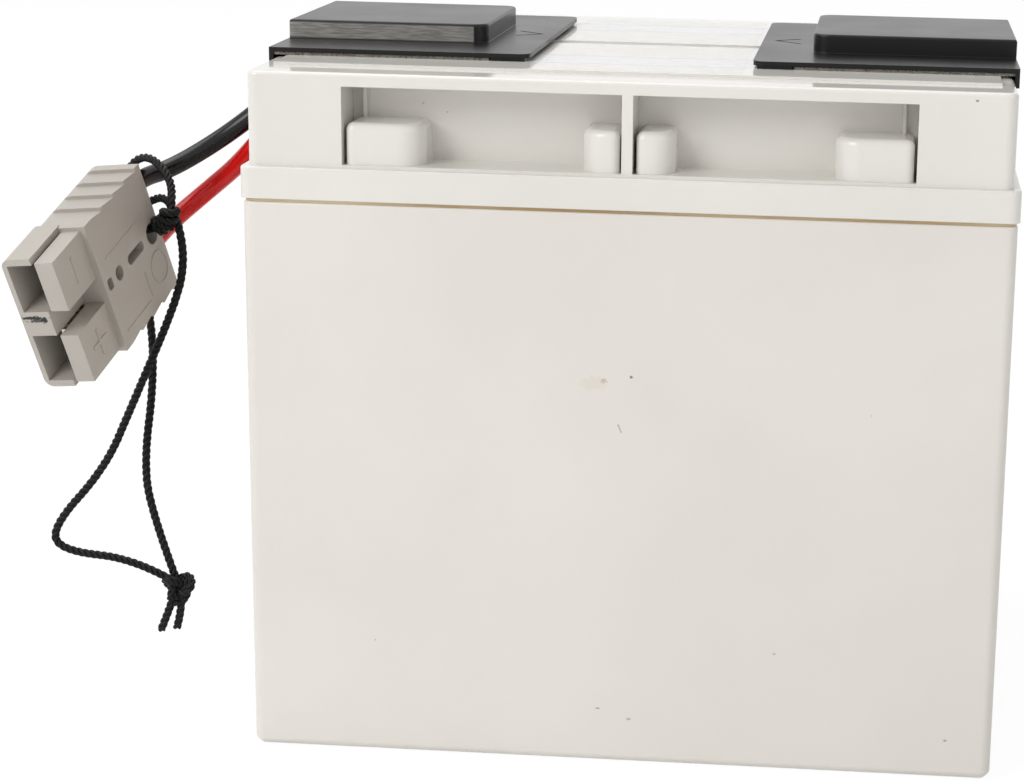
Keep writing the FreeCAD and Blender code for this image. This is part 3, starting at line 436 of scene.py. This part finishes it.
class Workshop:
    """Keeps the finished materials and sets finished pieces on the frame."""

    def __init__(self) -> None:
        """Build every material once."""
        self.materials = {finish: spec.material() for finish, spec in FINISHES.items()}

    def paint(self, node: str, finish: Finish) -> None:
        """Give a CAD node a finish."""
        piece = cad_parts[node]
        if not piece.material_slots:
            piece.data.materials.append(None)
        for place in piece.material_slots:
            place.material = self.materials[finish]
        LOG.info("painted %s as %s", node, finish.value)

    def settle(self, piece: bpy.types.Object, finish: Finish,
               replaced: tuple[str, ...] = ()) -> bpy.types.Object:
        """Finish a new piece and set it on the frame.

        Args:
            piece: The new piece.
            finish: Its finish.
            replaced: CAD nodes that it stands for.

        Returns:
            The piece.
        """
        piece.data.materials.clear()
        piece.data.materials.append(self.materials[finish])
        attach(piece, "root")
        if replaced:
            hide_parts(*replaced)
        LOG.info("made %s", piece.name)
        return piece


def linked(name: str, data: bpy.types.ID) -> bpy.types.Object:
    """Make an object of some data and link it to the scene."""
    made = bpy.data.objects.new(name, data)
    bpy.context.scene.collection.objects.link(made)
    return made


def spline(name: str, points: list[Vector], radius: float = 0.0) -> bpy.types.Object:
    """Lay a smooth curve along a route's points.

    Args:
        name: The curve's name.
        points: The route's points, in metres.
        radius: The radius of a round tube on it, or none.

    Returns:
        The curve object.
    """
    curve = bpy.data.curves.new(name, "CURVE")
    curve.dimensions = "3D"
    line = curve.splines.new("NURBS")
    line.points.add(len(points) - 1)
    for control, point in zip(line.points, points):
        control.co = (*point, 1.0)
    line.order_u = 3
    line.use_endpoint_u = True
    line.resolution_u = 24
    curve.bevel_depth = radius
    curve.bevel_resolution = 8
    curve.use_fill_caps = radius > 0
    return linked(name, curve)


def read_line(points: list[Vector], step: float) -> list[Vector]:
    """Read evenly spaced points from the smooth curve along a route.

    Args:
        points: The route's points.
        step: How far apart the points read are.

    Returns:
        The points, from one end of the curve to the other.
    """
    bare = spline("route", points)
    mesh = bpy.data.meshes.new_from_object(bare.evaluated_get(bpy.context.evaluated_depsgraph_get()))
    raw = [vertex.co.copy() for vertex in mesh.vertices]
    curve = bare.data
    bpy.data.objects.remove(bare)
    bpy.data.curves.remove(curve)
    bpy.data.meshes.remove(mesh)
    total = sum((b - a).length for a, b in zip(raw, raw[1:]))
    count = max(2, round(total / step))
    spaced = [raw[0]]
    walked = 0.0
    wanted = total / count
    for a, b in zip(raw, raw[1:]):
        run = (b - a).length
        while run > 0 and wanted <= walked + run + 1e-12 and len(spaced) < count:
            spaced.append(a.lerp(b, (wanted - walked) / run))
            wanted += total / count
        walked += run
    return spaced + [raw[-1]]


def frames_along(line: list[Vector]) -> list[tuple[Vector, Vector]]:
    """Carry a pair of cross directions along a line without twist."""
    heading = (line[1] - line[0]).normalized()
    side = heading.orthogonal().normalized()
    frames = []
    for index, point in enumerate(line):
        ahead = line[min(index + 1, len(line) - 1)] - line[max(index - 1, 0)]
        side = (side - ahead.normalized() * side.dot(ahead.normalized())).normalized()
        frames.append((side.copy(), ahead.normalized().cross(side)))
    return frames


@dataclass
class TwistedLine:
    """How the cord is laid: strands that twist round each other."""

    winding: float = 0.00056
    strand: float = 0.00060
    pitch: float = 0.0052
    strands: int = 3
    step: float = 0.00042

    def mesh(self, name: str, line: list[Vector]) -> bpy.types.Object:
        """Twist a cord along a line.

        Args:
            name: The piece's name.
            line: Evenly spaced points that it follows.

        Returns:
            The twisted cord as a mesh.
        """
        curve = bpy.data.curves.new(f"{name}_strands", "CURVE")
        curve.dimensions = "3D"
        curve.bevel_depth = self.strand
        curve.bevel_resolution = 2
        curve.use_fill_caps = True
        frames = frames_along(line)
        walked = [0.0]
        for a, b in zip(line, line[1:]):
            walked.append(walked[-1] + (b - a).length)
        for strand in range(self.strands):
            path = []
            for point, (side, up), far in zip(line, frames, walked):
                angle = (far / self.pitch + strand / self.strands) * math.tau
                path.append(point + (side * math.cos(angle) + up * math.sin(angle)) * self.winding)
            self.lay(curve, path)
        return meshed(name, [linked(f"{name}_strands", curve)])

    @staticmethod
    def lay(curve: bpy.types.Curve, path: list[Vector]) -> None:
        """Add a path to a curve as straight short runs."""
        line = curve.splines.new("POLY")
        line.points.add(len(path) - 1)
        for control, point in zip(line.points, path):
            control.co = (*point, 1.0)
        line.use_smooth = True


def meshed(name: str, sources: list[bpy.types.Object]) -> bpy.types.Object:
    """Turn curves into one mesh object and remove them.

    Args:
        name: The new mesh's name.
        sources: The curve objects.

    Returns:
        The mesh object.
    """
    graph = bpy.context.evaluated_depsgraph_get()
    form = bmesh.new()
    for source in sources:
        mesh = bpy.data.meshes.new_from_object(source.evaluated_get(graph))
        form.from_mesh(mesh)
        bpy.data.meshes.remove(mesh)
    bmesh.ops.remove_doubles(form, verts=form.verts, dist=1e-7)
    for face in form.faces:
        face.smooth = True
    data = bpy.data.meshes.new(name)
    form.to_mesh(data)
    form.free()
    for source in sources:
        curve = source.data
        bpy.data.objects.remove(source)
        bpy.data.curves.remove(curve)
    return linked(name, data)


@dataclass
class Softening:
    """How a moulded piece's sharp edges are rounded on a merged copy of its solid."""

    width: float
    segments: int = 3
    sharp: float = 35.0
    flat: float = 1.0
    doubles: float = 2e-6

    def copy(self, node: str, name: str) -> bpy.types.Object:
        """Copy a CAD node with its doubles merged and its edges rounded.

        Args:
            node: The CAD node.
            name: The new piece's name.

        Returns:
            The rounded copy.
        """
        form = bmesh.new()
        form.from_mesh(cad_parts[node].data)
        bmesh.ops.remove_doubles(form, verts=form.verts, dist=self.doubles)
        bmesh.ops.dissolve_limit(form, angle_limit=math.radians(self.flat), verts=form.verts,
                                 edges=form.edges, use_dissolve_boundaries=False)
        for face in form.faces:
            face.smooth = True
        data = bpy.data.meshes.new(name)
        form.to_mesh(data)
        form.free()
        data.set_sharp_from_angle(angle=math.radians(self.sharp))
        made = linked(name, data)
        bevel = made.modifiers.new("edges", "BEVEL")
        bevel.affect = "EDGES"
        bevel.limit_method = "ANGLE"
        bevel.angle_limit = math.radians(self.sharp)
        bevel.width = self.width
        bevel.segments = self.segments
        bevel.profile = 0.5
        bevel.material = -1
        bevel.use_clamp_overlap = False
        bevel.harden_normals = True
        return made


@dataclass
class Battery:
    """One sealed battery: container, glue, lid, strip, valves, plates and terminals."""

    side: str
    case_edge: Softening = field(default_factory=lambda: Softening(0.0006))

    def dress(self, shop: Workshop) -> None:
        """Finish all the pieces of the battery."""
        side = self.side
        shop.settle(self.case_edge.copy(f"{side}_container", f"{side}_case"), Finish.CASE,
                    (f"{side}_container",))
        for part, finish in (("lid", Finish.LID), ("lid_seam", Finish.GLUE), ("vent_strip", Finish.STRIP),
                             ("valve_caps", Finish.RUBBER), ("plate_packs", Finish.PLATES),
                             ("terminals", Finish.TERMINAL)):
            shop.paint(f"{side}_{part}", finish)


@dataclass
class Hardware:
    """What joins the batteries: bar, screws, washers, lugs, foam, film and covers."""

    tape_along: tuple[float, float] = (36.6, 89.4)
    tape_across: tuple[float, float] = (40.0, 46.4)
    tape_up: tuple[float, float] = (166.32, 166.98)
    tape_wave: float = 0.00012
    tape_ripple: float = 0.00008

    def tape(self, end: int) -> bpy.types.Object:
        """Make the two strips of foam tape that hold a cover, on the left (-1) or right (1)."""
        form = bmesh.new()
        for side in (-1, 1):
            made = bmesh.ops.create_grid(form, x_segments=24, y_segments=3, size=0.5)["verts"]
            length = (self.tape_along[1] - self.tape_along[0]) * MM
            width = (self.tape_across[1] - self.tape_across[0]) * MM
            bmesh.ops.scale(form, vec=(length, width, 1.0), verts=made)
            for vert in made:
                wide = self.tape_wave * math.sin(vert.co.x * 1900)
                fine = self.tape_ripple * math.sin(vert.co.x * 4300 + end)
                vert.co.y += wide + fine
            along = end * sum(self.tape_along) / 2
            across = side * sum(self.tape_across) / 2
            middle = Vector((along, across, self.tape_up[0])) * MM
            bmesh.ops.translate(form, vec=middle, verts=made)
        faces = bmesh.ops.extrude_face_region(form, geom=form.faces[:])["geom"]
        raised = [item for item in faces if isinstance(item, bmesh.types.BMVert)]
        bmesh.ops.translate(form, vec=(0.0, 0.0, (self.tape_up[1] - self.tape_up[0]) * MM), verts=raised)
        bmesh.ops.recalc_face_normals(form, faces=form.faces)
        data = bpy.data.meshes.new("tape")
        form.to_mesh(data)
        form.free()
        return linked("left_tape" if end < 0 else "right_tape", data)

    def dress(self, shop: Workshop) -> None:
        """Finish the joining pieces."""
        for end in (-1, 1):
            shop.settle(self.tape(end), Finish.TAPE)
        for node, finish in (("series_link_bar", Finish.COPPER), ("lead_lugs", Finish.COPPER),
                             ("terminal_washers", Finish.ZINC), ("terminal_screws", Finish.ZINC),
                             ("joining_foam", Finish.FOAM), ("clear_film", Finish.FILM),
                             ("left_cover", Finish.COVER), ("right_cover", Finish.COVER)):
            shop.paint(node, finish)


@dataclass
class Connector:
    """The two-pole connector, built in its own tilted frame."""

    origin: Point = (-139.9, 0.0, 114.1)
    yaw: float = -99.4
    pitch: float = 20.4
    roll: float = -83.3
    pole: float = 9.2

    def place(self) -> Matrix:
        """Give the connector's frame, in millimetres."""
        turn = (Matrix.Rotation(math.radians(self.yaw), 4, "Z")
                @ Matrix.Rotation(math.radians(self.pitch), 4, "Y")
                @ Matrix.Rotation(math.radians(self.roll), 4, "X"))
        return Matrix.Translation(self.origin) @ turn

    def spot(self, along: float, across: float, up: float) -> Point:
        """Give a point of the connector's frame in the row frame, in millimetres."""
        return tuple(self.place() @ Vector((along, across, up)))

    def dress(self, shop: Workshop) -> None:
        """Finish the housing, contacts and springs."""
        shop.paint("connector_housing", Finish.CONNECTOR)
        shop.paint("connector_contacts", Finish.SILVER)
        shop.paint("contact_springs", Finish.SPRING)


@dataclass
class Lead:
    """A short wire from a lug under the left cover into the back of the connector."""

    name: str
    slot: str
    finish: Finish
    terminal: float
    turn: float
    run: float
    middle: list[Point]
    straight: float
    pole: float
    length: float
    radius: float = 2.55
    neck: float = 14.5
    height: float = 156.3
    terminal_along: float = -70.0

    def route(self, connector: Connector) -> list[Point]:
        """Give the wire's route, from its lug to its contact."""
        angle = math.radians(self.turn)
        start = Vector((self.terminal_along, self.terminal, self.height))
        ahead = Vector((math.cos(angle), math.sin(angle), 0.0))
        points = [tuple(start + ahead * self.neck), tuple(start + ahead * (self.neck + self.run))]
        points += self.middle
        points += [connector.spot(-self.straight, self.pole, 0.0), connector.spot(2.0, self.pole, 0.0)]
        return points

    def build(self, shop: Workshop, connector: Connector) -> bpy.types.Object:
        points = metres(self.route(connector))
        piece = spline(self.name, points, self.radius * MM)
        shop.settle(piece, self.finish, (self.name.replace("_wire", "_lead"),))
        return piece


@dataclass
class PullCord:
    """The twisted cord: a loop through the connector, a hitch, a knot and two short tails."""

    twist: TwistedLine = field(default_factory=TwistedLine)
    length: float = 0.336
    hole_along: float = 2.65
    outside: float = 10.95
    up: list[Point] = field(default_factory=lambda: [
        (-128.5, -8.0, 17.5), (-139.6, -8.0, 23.8), (-160.5, -7.0, 24.8), (-163.3, -6.5, 31.0),
        (-147.9, -5.0, 48.5), (-140.3, -5.0, 65.6), (-127.0, -5.0, 95.0), (-124.4, -5.0, 106.5),
        (-126.4, -3.5, 117.0), (-131.5, 3.0, 122.4), (-139.0, 8.0, 118.5), (-149.0, 6.0, 115.0)])
    down: list[Point] = field(default_factory=lambda: [
        (-127.0, -6.4, 120.6), (-128.8, 0.0, 127.5), (-137.3, 7.5, 132.6), (-144.3, 10.5, 128.0),
        (-144.2, 11.0, 116.0), (-141.6, 11.0, 103.0), (-137.6, 8.0, 84.0), (-136.6, 3.0, 68.5),
        (-138.0, -2.0, 51.0), (-136.3, -4.5, 37.5), (-128.4, -8.0, 18.2)])
    tails: tuple[list[Point], ...] = (
        [(-128.5, -8.0, 16.5), (-130.0, -8.0, 11.5), (-133.2, -8.0, 3.7)],
        [(-127.5, -8.0, 16.5), (-126.8, -7.8, 11.5), (-129.0, -7.2, 4.3)])
    knot: Point = (-127.9, -8.0, 16.2)
    knot_sizes: tuple[float, ...] = (2.9, 1.9)
    knot_share: float = 0.96
    hitch_from: Point = (3.6, 0.0, 9.6)
    hitch_to: Point = (-126.9, -6.2, 120.2)
    hitch_turns: float = 4.0
    hitch_radius: float = 0.0018
    turn_points: int = 20

    def knot_route(self, size: float) -> list[Point]:
        """Give the closed winding of a part of the knot around its middle."""
        points = []
        count = self.turn_points - 1
        for index in range(count):
            angle = index / (count - 1) * math.tau * self.knot_share + size
            x = math.sin(angle) + 2 * math.sin(2 * angle)
            z = math.cos(angle) - 2 * math.cos(2 * angle)
            y = -1.6 * math.sin(3 * angle)
            half = size / 2
            points.append((self.knot[0] + x * half, self.knot[1] + y * half * 0.8, self.knot[2] + z * half))
        return points

    def hitch_line(self, line: list[Vector], connector: Connector) -> list[Vector]:
        """Wind a few turns round the cord where it leaves the connector.

        Args:
            line: Points along the cord.
            connector: The connector that it leaves.

        Returns:
            Points along the winding.
        """
        ends = [Vector(connector.spot(*self.hitch_from)) * MM, Vector(self.hitch_to) * MM]
        first, last = (min(range(len(line)), key=lambda i: (line[i] - end).length) for end in ends)
        run = line[first:last + 1]
        frames = frames_along(run)
        count = round(self.hitch_turns * self.turn_points)
        path = []
        for index in range(count):
            far = index / count * (len(run) - 1)
            near, share = int(far), far % 1
            angle = index / self.turn_points * math.tau
            (side, up), (next_side, next_up) = frames[near], frames[near + 1]
            aside = side.lerp(next_side, share) * math.cos(angle)
            above = up.lerp(next_up, share) * math.sin(angle)
            path.append(run[near].lerp(run[near + 1], share) + (aside + above) * self.hitch_radius)
        return path

    def build(self, shop: Workshop, connector: Connector) -> None:
        through = [connector.spot(self.hole_along, 0.0, side * self.outside) for side in (-1, 1)]
        line = read_line(metres(self.up + through + self.down), self.twist.step)
        cord = self.twist.mesh("pull_cord_rope", line)
        shop.settle(cord, Finish.YARN, ("pull_cord",))
        pieces = [self.twist.mesh("cord_hitch", self.hitch_line(line, connector))]
        for index, size in enumerate(self.knot_sizes):
            turns = read_line(metres(self.knot_route(size)), self.twist.step)
            pieces.append(self.twist.mesh(f"cord_knot_{index + 1}", turns))
        for index, tail in enumerate(self.tails):
            end = read_line(metres(tail), self.twist.step)
            pieces.append(self.twist.mesh(f"cord_tail_{index + 1}", end))
        for piece in pieces:
            shop.settle(piece, Finish.YARN)
        length = sum((b - a).length for a, b in zip(line, line[1:]))
        LOG.info("pull cord is %.1f mm long", length / MM)


@dataclass(frozen=True)
class Lamp:
    """A square soft lamp."""

    name: str
    place: Point
    size: float
    power: float

    def hang(self, aimed_at: Vector) -> None:
        """Hang the lamp and turn it to a point in metres."""
        data = bpy.data.lights.new(self.name, "AREA")
        data.shape = "SQUARE"
        data.size = self.size
        data.energy = self.power
        lamp = linked(self.name, data)
        lamp.location = self.place
        lamp.rotation_euler = (aimed_at - lamp.location).to_track_quat("-Z", "Y").to_euler()


@dataclass
class Studio:
    """The floor, the soft light and the camera."""

    eye: Point = (59.318, -639.68, 236.021)
    yaw: float = 0.076
    pitch: float = -0.245
    roll: float = -0.021
    lens: float = 87.62
    shift: tuple[float, float] = (-0.17658, -0.0025)
    floor_size: float = 12.0
    floor_drop: float = 0.0002
    floor_glow: float = 1.04
    glow_share: float = 0.9
    room_light: float = 0.38
    aimed_at: Point = (0.0, 0.0, 0.08)
    lamps: tuple[Lamp, ...] = (
        Lamp("key", (-1.2, -1.5, 1.2), 1.1, 22.0),
        Lamp("fill", (1.4, -1.3, 0.8), 1.4, 5.0),
        Lamp("top", (-0.5, 0.3, 1.8), 1.4, 17.0),
    )

    def aim(self) -> None:
        """Set the camera where the pair is seen from a little above and to the right."""
        data = bpy.data.cameras.new("camera")
        data.lens = self.lens
        data.sensor_width = 36.0
        data.shift_x, data.shift_y = self.shift
        data.clip_start, data.clip_end = 0.05, 40.0
        camera = linked("camera", data)
        turn = (Matrix.Rotation(self.yaw, 4, "Z") @ Matrix.Rotation(self.pitch, 4, "X")
                @ Matrix.Rotation(self.roll, 4, "Y") @ Matrix.Rotation(math.pi / 2, 4, "X"))
        camera.matrix_world = Matrix.Translation(Vector(self.eye) * MM) @ turn
        bpy.context.scene.camera = camera

    def lay_floor(self) -> None:
        """Lay a pale floor that keeps the shadow and shows white around it."""
        form = bmesh.new()
        bmesh.ops.create_grid(form, x_segments=1, y_segments=1, size=self.floor_size / 2)
        data = bpy.data.meshes.new("floor")
        form.to_mesh(data)
        form.free()
        data.transform(Matrix.Translation((0.0, 0.0, -self.floor_drop)))
        floor = linked("floor", data)
        recipe = Recipe("floor_paper")
        paper = recipe.blend(recipe.noise(3, 2), tone(248, 248, 248), tone(245, 245, 245))
        recipe.feed("Base Color", paper)
        recipe.set(Roughness=0.9, Specular_IOR_Level=0.1)
        glow = recipe.node("Emission", {"Color": WHITE, "Strength": self.floor_glow})
        rays = recipe.node("LightPath").outputs
        seen = recipe.sum("MAXIMUM", rays["Is Camera Ray"], rays["Is Glossy Ray"])
        share = recipe.sum("MULTIPLY", seen, self.glow_share)
        mix = recipe.node("MixShader", {0: share, 1: recipe.shader.outputs[0], 2: glow.outputs[0]})
        out = recipe.tree.nodes["Material Output"]
        recipe.tree.links.new(mix.outputs[0], out.inputs["Surface"])
        floor.data.materials.append(recipe.material)

    def light(self) -> None:
        """Hang the lamps and fill the room with pale light that shows white to the eye and to gloss."""
        world = bpy.data.worlds.new("room")
        bpy.context.scene.world = world
        world.use_nodes = True
        tree = world.node_tree
        room = tree.nodes["Background"]
        room.inputs["Color"].default_value = WHITE
        rays = tree.nodes.new("ShaderNodeLightPath").outputs
        seen = tree.nodes.new("ShaderNodeMath")
        seen.operation = "MAXIMUM"
        tree.links.new(rays["Is Camera Ray"], seen.inputs[0])
        tree.links.new(rays["Is Glossy Ray"], seen.inputs[1])
        level = tree.nodes.new("ShaderNodeMapRange")
        level.inputs["To Min"].default_value = self.room_light
        level.inputs["To Max"].default_value = 1.0
        tree.links.new(seen.outputs[0], level.inputs["Value"])
        tree.links.new(level.outputs[0], room.inputs["Strength"])
        for lamp in self.lamps:
            lamp.hang(Vector(self.aimed_at))


def main() -> None:
    """Build the studio and dress the cartridge, piece by piece."""
    logging.basicConfig(level=logging.INFO, format="%(name)s: %(message)s")
    studio = Studio()
    studio.aim()
    shop = Workshop()
    connector = Connector()
    black = Lead("black_wire", "black_wire", Finish.BLACK_SLEEVE, 16.5, 165.0, 12.0,
                 [(-115.1, 26.0, 139.0), (-132.9, 17.0, 127.2)], 9.0, -connector.pole, 0.084)
    red = Lead("red_wire", "red_wire", Finish.RED_SLEEVE, -16.5, 127.0, 14.5,
               [(-98.0, 18.0, 150.2), (-115.0, 25.0, 129.4), (-127.6, 27.0, 118.8)], 16.0,
               connector.pole, 0.106)
    connector.dress(shop)
    PullCord().build(shop, connector)
    black.build(shop, connector)
    red.build(shop, connector)
    for side in ("front", "rear"):
        Battery(side).dress(shop)
    Hardware().dress(shop)
    studio.lay_floor()
    studio.light()
    bpy.context.scene.view_settings.view_transform = "Standard"


if __name__ == "__main__":
    main()
